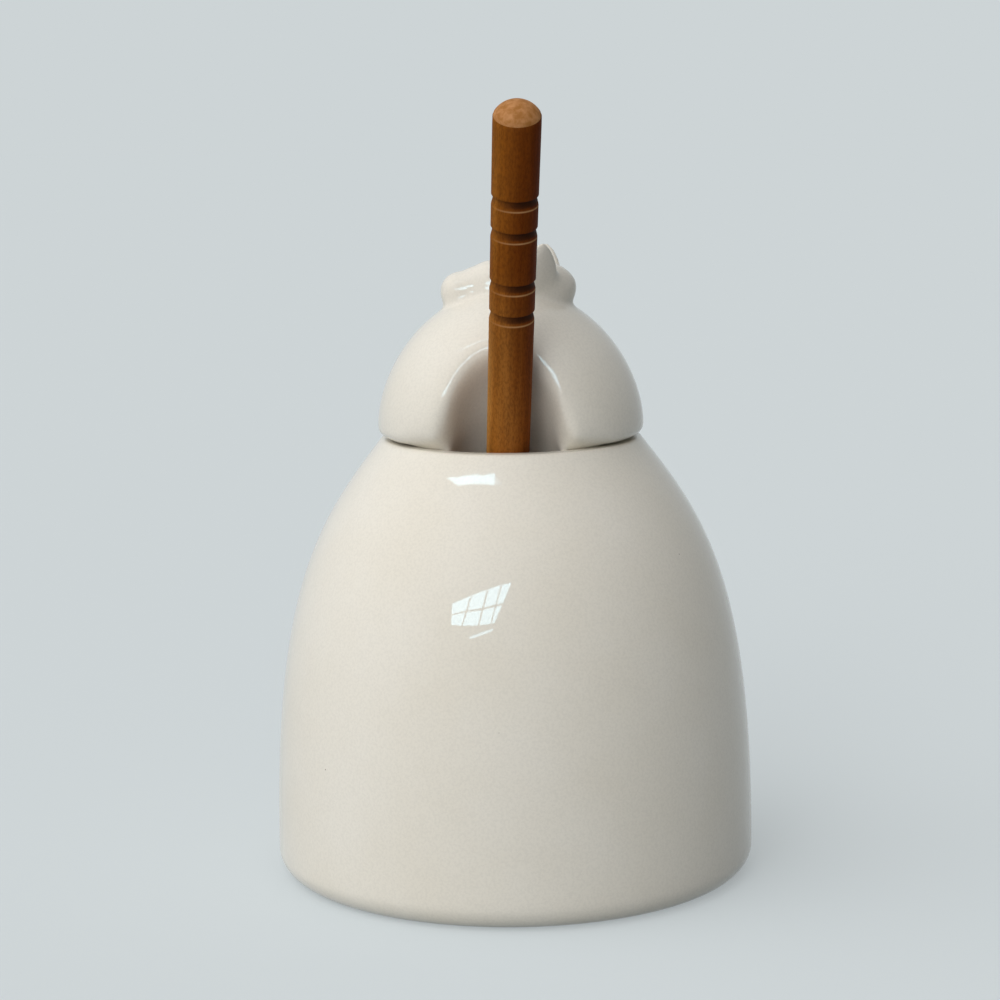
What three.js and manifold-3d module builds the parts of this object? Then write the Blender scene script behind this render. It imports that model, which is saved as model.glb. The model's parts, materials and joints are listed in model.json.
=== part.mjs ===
// Honey pot: a dome-shaped glazed jar, a loose lid with a niche for the dipper and a moulded bee as its
// knob, and a turned wooden dipper that stands in the jar and leans out through the niche.
// Millimetres, +Z up. The origin is the middle of the jar's foot, on the table. The niche faces -Y and
// the bee's head points to -X.

import * as THREE from "three";
import { mergeVertices } from "three/addons/utils/BufferGeometryUtils.js";
import Module from "manifold-3d";

const wasm = await Module();
wasm.setup();

const degrees = THREE.MathUtils.degToRad;

// The gap kept between pieces that touch on the real object.
const SEAT_GAP = 0.3;

// Jar
const JAR_R = 50; // widest band, just above the foot
const JAR_HEIGHT = 91.3; // table to the seat under the lid
const JAR_WALL = 4;
const JAR_FLOOR = 6; // table to the floor inside
const FOOT_ROUND = 5; // rounding under the widest band
const FOOT_WIDTH = 4.5; // the unglazed ring that stands on the table
const FOOT_RECESS = 1.2; // how far the middle of the base is raised
const FLOOR_ROUND = 8; // rounding inside, between floor and wall
const SHOULDER_R = 27.2; // where the dome meets the rounding of the seat
const SHOULDER_SLOPE = degrees(55.8); // the dome's slope at the seat, from the horizontal
const SEAT_ROUND = 1.5; // rounding outside the seat
const MOUTH_R = 23;
const LIP_ROUND = 1; // rounding inside the seat
const WALL_PULL_SHARE = 0.735; // how long the wall stays upright, of its height
const SHOULDER_PULL_SHARE = 0.74; // how long the shoulder keeps its slope, of its inset

// Lid
const LID_R = 27.5;
const LID_RISE = 30.7; // seat to the top of the dome
const LID_WALL = 3.6;
const LID_EDGE_ROUND = 2.4;
const FLANGE_DEPTH = 6; // how far the locating ring reaches into the mouth
const FLANGE_WALL = 3.6;
const FLANGE_CLEARANCE = 0.5; // all round, in the mouth
const LEDGE = 3.6; // thickness of the lid's rim above the seat
const LID_UPRIGHT_SHARE = 0.42; // how long the lid's side stays upright, of its rise
const LID_CROWN_SHARE = 0.607; // how flat the crown is, of the lid's radius

// Dipper
const DIPPER_LENGTH = 162;
const DIPPER_LEAN = degrees(18.5); // towards the niche's open side
const DIPPER_SWAY = degrees(3.2); // sideways, towards +X
const DIPPER_ASIDE = 0.45; // at the seat, from the middle of the niche towards +X
const HANDLE_TOP_R = 4.85;
const HANDLE_NECK_R = 4.1; // where the handle leaves the head
const HANDLE_DOME = 3.6; // height of the rounded top end
const RING_WIDTH = 2; // the turned rings round the handle
const RING_DEPTH = 0.55;
const RING_PAIR_PITCH = 6.6; // between the two rings of a pair
const RING_PAIRS_APART = 17.6; // from the upper ring of one pair to that of the next
const FIRST_RING = 16.8; // from the edge of the top end to the first ring
const HEAD_R = 10.5;
const HEAD_LENGTH = 38;
const HEAD_CORE_R = 5;
const HEAD_SLOT = 2.6; // width of each groove that holds honey
const HEAD_SLOTS = 6;
const HEAD_BEVEL = 0.6; // on the edge of each disc
const HEAD_END_SHARE = 0.66; // radius at the head's two ends, of its largest

// Niche
const NICHE_SIDE_ROOM = 7.7; // from the handle to each side wall
const NICHE_BACK_ROOM = 4.4; // from the handle to the back wall, at the seat
const NICHE_TOP_ROOM = 0.35; // from the handle to the arch where it leaves the dome

// Bee
const BEE_LENGTH = 28.5;
const BEE_WIDTH = 11.6;
const BEE_HEIGHT = 11;
const BEE_SINK = 5.3; // how deep the thorax reaches into the crown
const WING_LENGTH = 13;
const WING_WIDTH = 9.6;
const WING_THICKNESS = 2.8;
const WING_RAISE = degrees(62); // each wing's slope up and outwards
const WING_SWEEP = degrees(25); // how far each wing's tip rises towards the tail
const WING_BACK = 3.6; // middle of a wing behind the lid's axis
const WING_SPREAD = 8.8; // between the middles of the two wings
const WING_LIFT = 4.3; // middle of a wing above the crown
const WING_ROOT_SHARE = 0.62; // width of a wing at its root, of its width at the tip

// The bee's three balls: where each middle lies along the bee and above the crown, then its half sizes
// along, across and up, as shares of the bee's length, width and height.
const BEE_BALL_SHARES = [
  { along: -0.361, above: -0.09, half: [0.144, 0.4, 0.39] },
  { along: -0.112, above: 0.018, half: [0.196, 0.48, 0.5] },
  { along: 0.2, above: -0.03, half: [0.294, 0.5, 0.47] },
];

// How finely curves are cut
const ROUND_STEPS = 48;
const DIPPER_STEPS = 24;
const CURVE_STEPS = 12;
const ARC_STEPS = 4;
const BALL_STEPS = 20;
const WELD = 1e-4; // corners closer than this are one corner
const OVERRUN = 20; // how far a cutting shape runs past what it cuts

const seatZ = JAR_HEIGHT;
const flangeR = MOUTH_R - FLANGE_CLEARANCE;
const crownZ = seatZ + LID_RISE;

const glaze = new THREE.MeshStandardMaterial({ color: 0xe9e0d2, roughness: 0.12, metalness: 0 });
const wood = new THREE.MeshStandardMaterial({ color: 0x8f5526, roughness: 0.55, metalness: 0 });

const at = (r, z) => new THREE.Vector2(r, z);

// Points of a cubic curve from a to b that starts towards p and arrives from q.
function curve(a, p, q, b, steps = CURVE_STEPS) {
  return new THREE.CubicBezierCurve(a, p, q, b).getPoints(steps);
}

// Points of an arc round (r, z), angles measured from +r towards +z.
function arc(r, z, radius, from, to, steps = ARC_STEPS) {
  return Array.from({ length: steps + 1 }, (_, i) => {
    const angle = from + ((to - from) * i) / steps;
    return at(r + radius * Math.cos(angle), z + radius * Math.sin(angle));
  });
}

// The outline moved sideways by a distance, to its left as it runs.
function offset(points, distance) {
  return points.map((point, i) => {
    const before = points[Math.max(i - 1, 0)];
    const after = points[Math.min(i + 1, points.length - 1)];
    const along = after.clone().sub(before).normalize();
    return at(point.x - along.y * distance, point.y + along.x * distance);
  });
}

// Radius of a rising outline at height z.
function radiusAt(points, z) {
  const above = points.findIndex((point) => point.y >= z);
  if (above < 1) return points[above < 0 ? points.length - 1 : 0].x;
  const share = (z - points[above - 1].y) / (points[above].y - points[above - 1].y);
  return THREE.MathUtils.lerp(points[above - 1].x, points[above].x, share);
}

// Any closed geometry as a solid that can be joined and cut.
function solid(geometry) {
  const bare = new THREE.BufferGeometry().setAttribute("position", geometry.getAttribute("position"));
  bare.setIndex(geometry.getIndex());
  const merged = mergeVertices(bare, WELD);
  const corners = merged.index.array;
  const kept = [];
  for (let i = 0; i < corners.length; i += 3) {
    const [a, b, c] = corners.slice(i, i + 3);
    if (a !== b && b !== c && c !== a) kept.push(a, b, c);
  }
  const vertProperties = new Float32Array(merged.attributes.position.array);
  return new wasm.Manifold(new wasm.Mesh({ numProp: 3, vertProperties, triVerts: new Uint32Array(kept) }));
}

// An outline of (radius, height) points, from axis to axis, turned round Z.
function turned(points, steps = ROUND_STEPS) {
  return solid(new THREE.LatheGeometry(points, steps).rotateX(Math.PI / 2));
}

// A ball with the given half sizes.
function ball(halfX, halfY, halfZ) {
  return new THREE.SphereGeometry(1, BALL_STEPS, BALL_STEPS / 2).scale(halfX, halfY, halfZ);
}

function named(name, manifold, material) {
  const { vertProperties, triVerts, numProp, numVert } = manifold.getMesh();
  const position = new Float32Array(numVert * 3);
  for (let i = 0; i < numVert; i++) {
    position.set(vertProperties.subarray(i * numProp, i * numProp + 3), i * 3);
  }
  const geometry = new THREE.BufferGeometry();
  geometry.setAttribute("position", new THREE.BufferAttribute(position, 3));
  geometry.setIndex(new THREE.BufferAttribute(new Uint32Array(triVerts), 1));
  geometry.computeVertexNormals();
  const mesh = new THREE.Mesh(geometry, material);
  mesh.name = name;
  return mesh;
}

// The jar's outer face, from the top of the foot's rounding up to the seat's rounding.
function jarFace() {
  const shoulderZ = seatZ - SEAT_ROUND * (1 - Math.cos(SHOULDER_SLOPE));
  const upright = (shoulderZ - FOOT_ROUND) * WALL_PULL_SHARE;
  const sloped = (JAR_R - SHOULDER_R) * SHOULDER_PULL_SHARE;
  return curve(
    at(JAR_R, FOOT_ROUND),
    at(JAR_R, FOOT_ROUND + upright),
    at(
      SHOULDER_R + sloped * Math.cos(SHOULDER_SLOPE),
      shoulderZ - sloped * Math.sin(SHOULDER_SLOPE),
    ),
    at(SHOULDER_R, shoulderZ),
  );
}

function makeJar() {
  const face = jarFace();
  const footR = JAR_R - FOOT_ROUND;
  const footInnerR = footR - FOOT_WIDTH;
  const outside = [
    at(0, FOOT_RECESS),
    at(footInnerR - FOOT_RECESS, FOOT_RECESS),
    at(footInnerR, 0),
    ...arc(footR, FOOT_ROUND, FOOT_ROUND, -Math.PI / 2, 0).slice(0, -1),
    ...face,
  ];
  const roundingR = SHOULDER_R - SEAT_ROUND * Math.sin(SHOULDER_SLOPE);
  const slopeAngle = Math.PI / 2 - SHOULDER_SLOPE;
  const seat = [
    ...arc(roundingR, seatZ - SEAT_ROUND, SEAT_ROUND, slopeAngle, Math.PI / 2).slice(1),
    ...arc(MOUTH_R + LIP_ROUND, seatZ - LIP_ROUND, LIP_ROUND, Math.PI / 2, Math.PI),
  ];
  const lining = offset(face, JAR_WALL);
  const roundTop = JAR_FLOOR + FLOOR_ROUND;
  const wall = lining.filter((point) => point.x > MOUTH_R && point.y > roundTop).reverse();
  const inside = [
    ...wall,
    ...arc(radiusAt(lining, roundTop) - FLOOR_ROUND, roundTop, FLOOR_ROUND, 0, -Math.PI / 2),
    at(0, JAR_FLOOR),
  ];
  return turned([...outside, ...seat, ...inside]);
}

// The lid's outer face, from the top of its edge rounding up to the crown.
function lidFace() {
  const start = seatZ + LID_EDGE_ROUND;
  return curve(
    at(LID_R, start),
    at(LID_R, start + (crownZ - start) * LID_UPRIGHT_SHARE),
    at(LID_R * LID_CROWN_SHARE, crownZ),
    at(0, crownZ),
  );
}

// The lid as if it were solid: its dome, and under it the plug that sits in the mouth.
function lidBulk() {
  const roundingR = LID_R - LID_EDGE_ROUND;
  return turned([
    at(0, seatZ - FLANGE_DEPTH),
    at(flangeR, seatZ - FLANGE_DEPTH),
    at(flangeR, seatZ),
    ...arc(roundingR, seatZ + LID_EDGE_ROUND, LID_EDGE_ROUND, -Math.PI / 2, 0).slice(0, -1),
    ...lidFace(),
  ]);
}

// The hollow under the dome, open at the bottom of the locating ring.
function lidHollow() {
  const lining = offset(lidFace(), LID_WALL);
  const top = lining.pop();
  const ledgeZ = seatZ + LEDGE;
  const ringR = flangeR - FLANGE_WALL;
  return turned([
    at(0, seatZ - FLANGE_DEPTH - OVERRUN),
    at(ringR, seatZ - FLANGE_DEPTH - OVERRUN),
    at(ringR, ledgeZ),
    at(Math.max(radiusAt(lining, ledgeZ), ringR), ledgeZ),
    ...lining.filter((point) => point.y > ledgeZ),
    at(0, top.y),
  ]);
}

// Radius of the handle at a distance from the dipper's lower end.
function handleRadius(along) {
  const share = (along - HEAD_LENGTH) / (DIPPER_LENGTH - HEAD_LENGTH);
  return THREE.MathUtils.lerp(HANDLE_NECK_R, HANDLE_TOP_R, THREE.MathUtils.clamp(share, 0, 1));
}

// One turned ring, a shallow groove cut into the handle, listed upwards.
function ringGroove(middle) {
  const half = RING_WIDTH / 2;
  return [
    [-half, 0],
    [-half / 2, RING_DEPTH],
    [half / 2, RING_DEPTH],
    [half, 0],
  ].map(([step, depth]) => at(handleRadius(middle + step) - depth, middle + step));
}

// The head's discs, listed upwards: slots cut into a barrel.
function headOutline() {
  const discWidth = (HEAD_LENGTH - HEAD_SLOTS * HEAD_SLOT) / (HEAD_SLOTS + 2);
  const barrel = (z) => {
    const fromMiddle = (2 * z) / HEAD_LENGTH - 1;
    return HEAD_R * (1 - (1 - HEAD_END_SHARE) * fromMiddle * fromMiddle);
  };
  const points = [at(0, 0)];
  for (let disc = 0; disc <= HEAD_SLOTS; disc++) {
    const low = disc * (discWidth + HEAD_SLOT);
    const high = low + discWidth;
    if (disc > 0) points.push(at(HEAD_CORE_R, low));
    points.push(at(barrel(low) - HEAD_BEVEL, low));
    points.push(at(barrel(low + HEAD_BEVEL), low + HEAD_BEVEL));
    points.push(at(barrel(high - HEAD_BEVEL), high - HEAD_BEVEL));
    if (disc < HEAD_SLOTS) points.push(at(barrel(high) - HEAD_BEVEL, high), at(HEAD_CORE_R, high));
  }
  return points;
}

// The rounded top end, a cap cut from a ball.
function handleCap() {
  const capR = (HANDLE_TOP_R ** 2 + HANDLE_DOME ** 2) / (2 * HANDLE_DOME);
  const edge = Math.asin((capR - HANDLE_DOME) / capR);
  return arc(0, DIPPER_LENGTH - capR, capR, edge, Math.PI / 2);
}

// The dipper's whole outline, from its lower end up its own axis.
function dipperOutline() {
  const firstRing = DIPPER_LENGTH - HANDLE_DOME - FIRST_RING;
  const rings = [0, RING_PAIR_PITCH, RING_PAIRS_APART, RING_PAIRS_APART + RING_PAIR_PITCH]
    .map((drop) => firstRing - drop)
    .reverse();
  const head = headOutline();
  const shoulder = head.pop();
  const half = (shoulder.y + HEAD_LENGTH) / 2;
  const neck = [at(shoulder.x, half), at(HANDLE_NECK_R, half), at(HANDLE_NECK_R, HEAD_LENGTH)];
  return [...head, ...curve(shoulder, ...neck, ARC_STEPS), ...rings.flatMap(ringGroove), ...handleCap()];
}

// Where the dipper stands: on the jar's floor, with its handle on the mouth's lip.
function dipperPlace() {
  const turn = new THREE.Euler(DIPPER_LEAN, DIPPER_SWAY, 0, "YXZ");
  const axis = new THREE.Vector3(0, 0, 1).applyEuler(turn);
  const aslant = Math.acos(axis.z);
  const reaches = dipperOutline().map((point) => point.y * Math.cos(aslant) - point.x * Math.sin(aslant));
  const toFloor = (seatZ - JAR_FLOOR - SEAT_GAP + Math.min(...reaches)) / axis.z;
  const lipToAxis = LIP_ROUND + SEAT_GAP + handleRadius(toFloor);
  const touchY = lipToAxis * Math.cos(DIPPER_LEAN) - MOUTH_R - LIP_ROUND;
  const touchZ = lipToAxis * Math.sin(DIPPER_LEAN) - LIP_ROUND;
  const crossing = new THREE.Vector3(DIPPER_ASIDE, touchY + touchZ * Math.tan(DIPPER_LEAN), seatZ);
  return { turn, crossing, lowerEnd: crossing.clone().addScaledVector(axis, -toFloor) };
}

function makeDipper() {
  const { turn, lowerEnd } = dipperPlace();
  const mesh = named("dipper", turned(dipperOutline(), DIPPER_STEPS), wood);
  mesh.rotation.copy(turn);
  mesh.position.copy(lowerEnd);
  return mesh;
}

// The niche's back wall runs from the room behind the handle at the seat to the point where the handle
// leaves the dome. Its tilt and the place of its middle follow from those two points.
function nichePlace() {
  const radius = HANDLE_TOP_R + NICHE_SIDE_ROOM;
  const { crossing } = dipperPlace();
  const halfHandle = HANDLE_TOP_R / Math.cos(DIPPER_LEAN);
  const handleBack = (z) => crossing.y + halfHandle - (z - seatZ) * Math.tan(DIPPER_LEAN);
  const face = lidFace();
  const outside = (point) => point.x + handleBack(point.y) + NICHE_TOP_ROOM;
  const after = face.findIndex((point) => outside(point) < 0);
  const [low, high] = [face[after - 1], face[after]];
  const top = low.clone().lerp(high, outside(low) / (outside(low) - outside(high)));
  const seatY = handleBack(seatZ) + NICHE_BACK_ROOM;
  const tilt = Math.atan2(seatY + top.x, top.y - seatZ);
  return { radius, tilt, middleY: seatY - radius / Math.cos(tilt) };
}

// A prism with a round back, along the niche's tilt and open towards -Y, grown all round by a wall.
function nicheShape(wall) {
  const { radius, tilt, middleY } = nichePlace();
  const outline = new THREE.Shape();
  outline.moveTo(-radius - wall, -LID_R - OVERRUN);
  outline.lineTo(radius + wall, -LID_R - OVERRUN);
  outline.absarc(0, 0, radius + wall, 0, Math.PI, false);
  outline.closePath();
  const depth = LID_RISE + FLANGE_DEPTH + 2 * OVERRUN;
  const prism = new THREE.ExtrudeGeometry(outline, {
    depth,
    bevelEnabled: false,
    curveSegments: ROUND_STEPS / 2,
  });
  prism.translate(0, 0, -FLANGE_DEPTH - OVERRUN);
  prism.rotateX(tilt);
  prism.translate(0, middleY, seatZ);
  return solid(prism);
}

function makeLid() {
  const bulk = lidBulk();
  const shell = bulk.subtract(lidHollow());
  const nicheWall = bulk.intersect(nicheShape(LID_WALL));
  return shell.add(nicheWall).subtract(nicheShape(0));
}

// The dome's crown, grown by the seat gap, which the bee's underside is cut to.
function crown() {
  const face = offset(lidFace(), -SEAT_GAP);
  const top = face.pop();
  return turned([at(0, seatZ), at(face[0].x, seatZ), ...face, at(0, top.y)]);
}

// The bee's head, thorax and abdomen pressed into one, grown all round by a gap.
function beeBulk(gap) {
  return BEE_BALL_SHARES.map(({ along, above, half }) => {
    const sizes = [BEE_LENGTH * half[0], BEE_WIDTH * half[1], BEE_HEIGHT * half[2]];
    const middleZ = crownZ - BEE_SINK + BEE_HEIGHT / 2 + BEE_HEIGHT * above;
    return solid(ball(...sizes.map((size) => size + gap)).translate(BEE_LENGTH * along, 0, middleZ));
  }).reduce((whole, part) => whole.add(part));
}

// One raised wing, narrower at its root. side is -1 for the wing over the niche and 1 for the other.
function makeWing(side) {
  const wing = ball(WING_LENGTH / 2, WING_WIDTH / 2, WING_THICKNESS / 2);
  const position = wing.attributes.position;
  for (let i = 0; i < position.count; i++) {
    const towardsTip = position.getX(i) / WING_LENGTH + 1 / 2;
    position.setY(i, position.getY(i) * THREE.MathUtils.lerp(WING_ROOT_SHARE, 1, towardsTip));
  }
  const turn = new THREE.Euler(side * WING_RAISE, -WING_SWEEP, 0, "YXZ");
  const place = new THREE.Matrix4().makeRotationFromEuler(turn);
  place.setPosition(WING_BACK, (side * WING_SPREAD) / 2, crownZ + WING_LIFT);
  return solid(wing.applyMatrix4(place)).subtract(beeBulk(SEAT_GAP)).subtract(crown());
}

const honeyPot = new THREE.Group();
honeyPot.add(
  named("jar", makeJar(), glaze),
  named("lid", makeLid(), glaze),
  named("bee_body", beeBulk(0).subtract(crown()), glaze),
  named("bee_wing_near", makeWing(-1), glaze),
  named("bee_wing_far", makeWing(1), glaze),
  makeDipper(),
);

export default honeyPot;
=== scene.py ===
# %% [markdown]
# # A honey pot with a wooden dipper
# The pot is a cast jar with a loose domed lid. A small bee is the lid's knob, and a turned dipper leans
# out through a niche in the lid's side. We start from the measured solids of the pot and build a dressed
# piece over each of them: finer curves, the soft edges that glaze leaves, and real glaze and wood.

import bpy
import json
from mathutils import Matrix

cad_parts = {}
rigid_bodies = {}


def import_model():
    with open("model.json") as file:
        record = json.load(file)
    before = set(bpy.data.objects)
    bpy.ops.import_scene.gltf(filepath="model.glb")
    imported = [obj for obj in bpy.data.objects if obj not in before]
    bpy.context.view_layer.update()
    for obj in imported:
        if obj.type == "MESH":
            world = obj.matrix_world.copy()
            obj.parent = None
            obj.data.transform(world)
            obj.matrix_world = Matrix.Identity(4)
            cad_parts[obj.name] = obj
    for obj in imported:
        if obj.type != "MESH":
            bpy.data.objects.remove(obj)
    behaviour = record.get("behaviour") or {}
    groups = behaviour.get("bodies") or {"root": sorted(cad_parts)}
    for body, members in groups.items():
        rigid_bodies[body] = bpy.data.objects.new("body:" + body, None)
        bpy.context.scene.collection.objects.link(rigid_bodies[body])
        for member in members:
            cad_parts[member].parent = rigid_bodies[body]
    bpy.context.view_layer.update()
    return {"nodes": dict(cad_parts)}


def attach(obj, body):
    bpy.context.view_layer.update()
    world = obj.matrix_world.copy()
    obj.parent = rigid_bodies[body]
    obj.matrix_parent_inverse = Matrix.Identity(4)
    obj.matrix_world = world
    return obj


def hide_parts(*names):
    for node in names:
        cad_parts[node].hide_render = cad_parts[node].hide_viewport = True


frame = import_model()
print("nodes:", sorted(frame["nodes"]))

# %% Tools
import json
import math

import bpy
import numpy as np
from mathutils import Matrix, Quaternion, Vector
from mathutils.geometry import interpolate_bezier

MM = 0.001
SHARP_EDGE = math.radians(35)  # a steeper corner than this stays crisp when it is shaded


def start_afresh():
    """Leaves edit mode and deselects everything, so that the next operator acts on nothing old."""
    if bpy.context.object and bpy.context.object.mode != "OBJECT":
        bpy.ops.object.mode_set(mode="OBJECT")
    bpy.ops.object.select_all(action="DESELECT")


def choose(piece):
    """Selects one piece and makes it the active one."""
    start_afresh()
    piece.select_set(True)
    bpy.context.view_layer.objects.active = piece


def measure(piece):
    """Prints how many faces a piece has and the size of its box."""
    corners = np.array([piece.matrix_world @ Vector(c) for c in piece.bound_box]) / MM
    size = np.round(corners.max(axis=0) - corners.min(axis=0), 1)
    print(f"{piece.name}: {len(piece.data.polygons)} faces, {size[0]} x {size[1]} x {size[2]} mm")


# %% [markdown]
# ## Outlines
# The jar, the lid's dome and the dipper are all round about one axis, as thrown and turned things are, so
# each one starts as half of its outline, in millimetres from the axis and up from the table. An outline
# is made of straight runs, arcs and one or two long curves. The lid's curve is the solid's own, cut more
# finely, and the jar's stays within a quarter of a millimetre of the solid's.

# %% Arcs, curves and a parallel outline
def arc(r, z, radius, start, end, steps=8):
    """Points of an arc round (r, z), its angles in degrees from outwards towards up."""
    angles = np.radians(np.linspace(start, end, steps + 1))
    return [(r + radius * math.cos(a), z + radius * math.sin(a)) for a in angles]


def curve(a, p, q, b, steps):
    """Points of a curve that leaves a towards p and reaches b from q."""
    guides = [Vector(point) for point in (a, p, q, b)]
    return [tuple(point) for point in interpolate_bezier(*guides, steps + 1)]


def parallel(points, distance):
    """The outline moved to its left by a distance."""
    points = np.array(points)
    before, after = np.roll(points, 1, axis=0), np.roll(points, -1, axis=0)
    before[0], after[-1] = points[0], points[-1]
    along = after - before
    along /= np.linalg.norm(along, axis=1)[:, None]
    return [tuple(p) for p in points + distance * np.stack([-along[:, 1], along[:, 0]], axis=1)]


def radius_at(points, z):
    """How far out an outline is at a height. Its points have to run upwards."""
    radii, heights = zip(*points)
    return np.interp(z, heights, radii)


# %% [markdown]
# ## Spinning an outline
# A potter's wheel and a lathe both sweep an outline round an axis, and Blender's Spin does the same. A
# plane is merged to one point, the point is extruded along the outline, and the whole line is spun. The
# last turn lands on the first, so the doubles are merged. A spin can turn the faces inside out, so their
# normals are recalculated at the end.

# %% Spin an outline into a solid
def spun(name, outline, steps):
    """A closed solid from an outline of (radius, height) points in mm that starts and ends on the axis."""
    start_afresh()
    bpy.ops.mesh.primitive_plane_add(size=MM)
    piece = bpy.context.object
    piece.name = piece.data.name = name
    bpy.ops.object.mode_set(mode="EDIT")
    bpy.ops.mesh.merge(type="CENTER")
    bpy.ops.transform.translate(value=(outline[0][0] * MM, 0, outline[0][1] * MM))
    for (r0, z0), (r1, z1) in zip(outline, outline[1:]):
        step = ((r1 - r0) * MM, 0, (z1 - z0) * MM)
        bpy.ops.mesh.extrude_region_move(TRANSFORM_OT_translate={"value": step})
    bpy.ops.mesh.select_all(action="SELECT")
    bpy.ops.mesh.spin(steps=steps, angle=math.tau, center=(0, 0, 0), axis=(0, 0, 1))
    bpy.ops.mesh.select_all(action="SELECT")
    bpy.ops.mesh.remove_doubles(threshold=0.005 * MM)
    bpy.ops.mesh.normals_make_consistent(inside=False)
    bpy.ops.object.mode_set(mode="OBJECT")
    return piece


# %% [markdown]
# ## The jar
# The jar is slip-cast: a dome-shaped wall 4 mm thick, with a wide mouth at the top and a bare ring of clay
# underneath, where glaze would have stuck it to the kiln shelf. It could be a sphere pushed about with a
# lattice, but one outline that runs up the outside, over the rounded seat and down the inside gives
# the wall its true thickness and puts every rounding where it is wanted.

# %% The jar's outline
JAR_R = 50
SEAT_Z = 91.3
JAR_WALL = 4
JAR_FLOOR = 6
FOOT_ROUND = 5
FOOT_WIDTH = 4.5
FOOT_RECESS = 1.2
RECESS_SLOPE = 1.5  # the recess's side runs inwards by this many times its height
FOOT_WEAR = (0.5, 0.35)  # how far in and up the foot ring's inner edge is worn
FLOOR_ROUND = 8
SHOULDER_R = 27.2
SHOULDER_SLOPE = 52  # degrees from the horizontal, at the seat
FACE_UPRIGHT = 0.642  # the share of its height over which the face's curve is drawn upright
FACE_SLOPED = 0.942  # the share of its depth over which it is drawn along the shoulder's slope
SEAT_ROUND = 1.5
MOUTH_R = 23
LIP_ROUND = 1

slope = math.radians(SHOULDER_SLOPE)
shoulder_z = SEAT_Z - SEAT_ROUND * (1 - math.cos(slope))
upright = (shoulder_z - FOOT_ROUND) * FACE_UPRIGHT
sloped = (JAR_R - SHOULDER_R) * FACE_SLOPED
jar_face = curve(
    (JAR_R, FOOT_ROUND),
    (JAR_R, FOOT_ROUND + upright),
    (SHOULDER_R + sloped * math.cos(slope), shoulder_z - sloped * math.sin(slope)),
    (SHOULDER_R, shoulder_z),
    steps=64,
)
foot_r = JAR_R - FOOT_ROUND
foot_inner_r = foot_r - FOOT_WIDTH
base = [(0, FOOT_RECESS), (foot_inner_r - RECESS_SLOPE * FOOT_RECESS, FOOT_RECESS)]
base += [(foot_inner_r - FOOT_WEAR[0], FOOT_WEAR[1]), (foot_inner_r, 0)]
base += arc(foot_r, FOOT_ROUND, FOOT_ROUND, -90, 0, 12)
seat_r = SHOULDER_R - SEAT_ROUND * math.sin(slope)
seat = arc(seat_r, SEAT_Z - SEAT_ROUND, SEAT_ROUND, 90 - SHOULDER_SLOPE, 90)
seat += arc(MOUTH_R + LIP_ROUND, SEAT_Z - LIP_ROUND, LIP_ROUND, 90, 180)
lining = parallel(jar_face, JAR_WALL)
round_top = JAR_FLOOR + FLOOR_ROUND
wall = [point for point in lining if point[0] > MOUTH_R and point[1] > round_top][::-1]
floor_round = arc(radius_at(lining, round_top) - FLOOR_ROUND, round_top, FLOOR_ROUND, 0, -90)
jar_outline = base + jar_face[1:] + seat[1:] + wall + floor_round + [(0, JAR_FLOOR)]
print(len(jar_outline), "points from the middle of the base round to the middle of the floor inside")

# %% Spin the jar
jar = spun("glazed_jar", jar_outline, steps=144)
choose(jar)
bpy.ops.object.shade_smooth_by_angle(angle=SHARP_EDGE)
measure(jar)

# %% [markdown]
# ## The dipper
# The dipper is turned from one stick: a handle with two pairs of fine grooves, a domed top end with a
# crisp edge, and a barrel-shaped head whose discs hold the honey. Stacked cylinders would leave seams that
# a turned stick hasn't, so it is one outline as well, listed from its lower end upwards.

# %% Measures of the dipper
DIPPER_LENGTH = 161.75
HANDLE_TOP_R = 4.72
HANDLE_NECK_R = 4.1
HANDLE_DOME = 2.9
# Points at the sharp edge of the domed end, as (outwards, up) from it: one keeps the shading of the
# handle straight, and two wear the edge.
WORN_EDGE = [(0, -2), (-0.02, -0.15), (-0.15, 0.05)]
# One groove, from below its middle to above it: (height, depth). A skew chisel leaves a long slope below
# and a steep wall above, with crisp edges, and the points just outside keep the handle's shading straight.
GROOVE = [(-1.8, 0), (-1.5, 0), (-1.36, 0.03), (-0.4, 0.26), (0, 0.34), (0.42, 0.36)]
GROOVE += [(0.58, 0.32), (0.66, 0.03), (0.72, 0), (1, 0)]
GROOVE_TO_DOME = 16.65  # from the middle of the highest groove up to the domed end
GROOVE_DROPS = (24.2, 17.6, 6.6, 0)  # how far each groove is below the highest one
RINGS = [DIPPER_LENGTH - HANDLE_DOME - GROOVE_TO_DOME - drop for drop in GROOVE_DROPS]
HEAD_R = 10.5
HEAD_LENGTH = 38
HEAD_TAPER = 0.34  # the share by which the head is slimmer at its ends
HEAD_CORE_R = 5
HEAD_SLOT = 2.6
HEAD_SLOTS = 6
HEAD_BEVEL = 0.6
SLOT_FLARE = [(0.3, 0.3), (0.6, 0)]  # where the core meets a disc: (outwards, away from the disc)


def barrel(z):
    """Radius of the head at a height above its lower end."""
    return HEAD_R * (1 - HEAD_TAPER * (2 * z / HEAD_LENGTH - 1) ** 2)


def handle(z):
    """Radius of the handle, which thickens slowly from the head to the top."""
    return float(np.interp(z, [HEAD_LENGTH, DIPPER_LENGTH], [HANDLE_NECK_R, HANDLE_TOP_R]))


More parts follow.
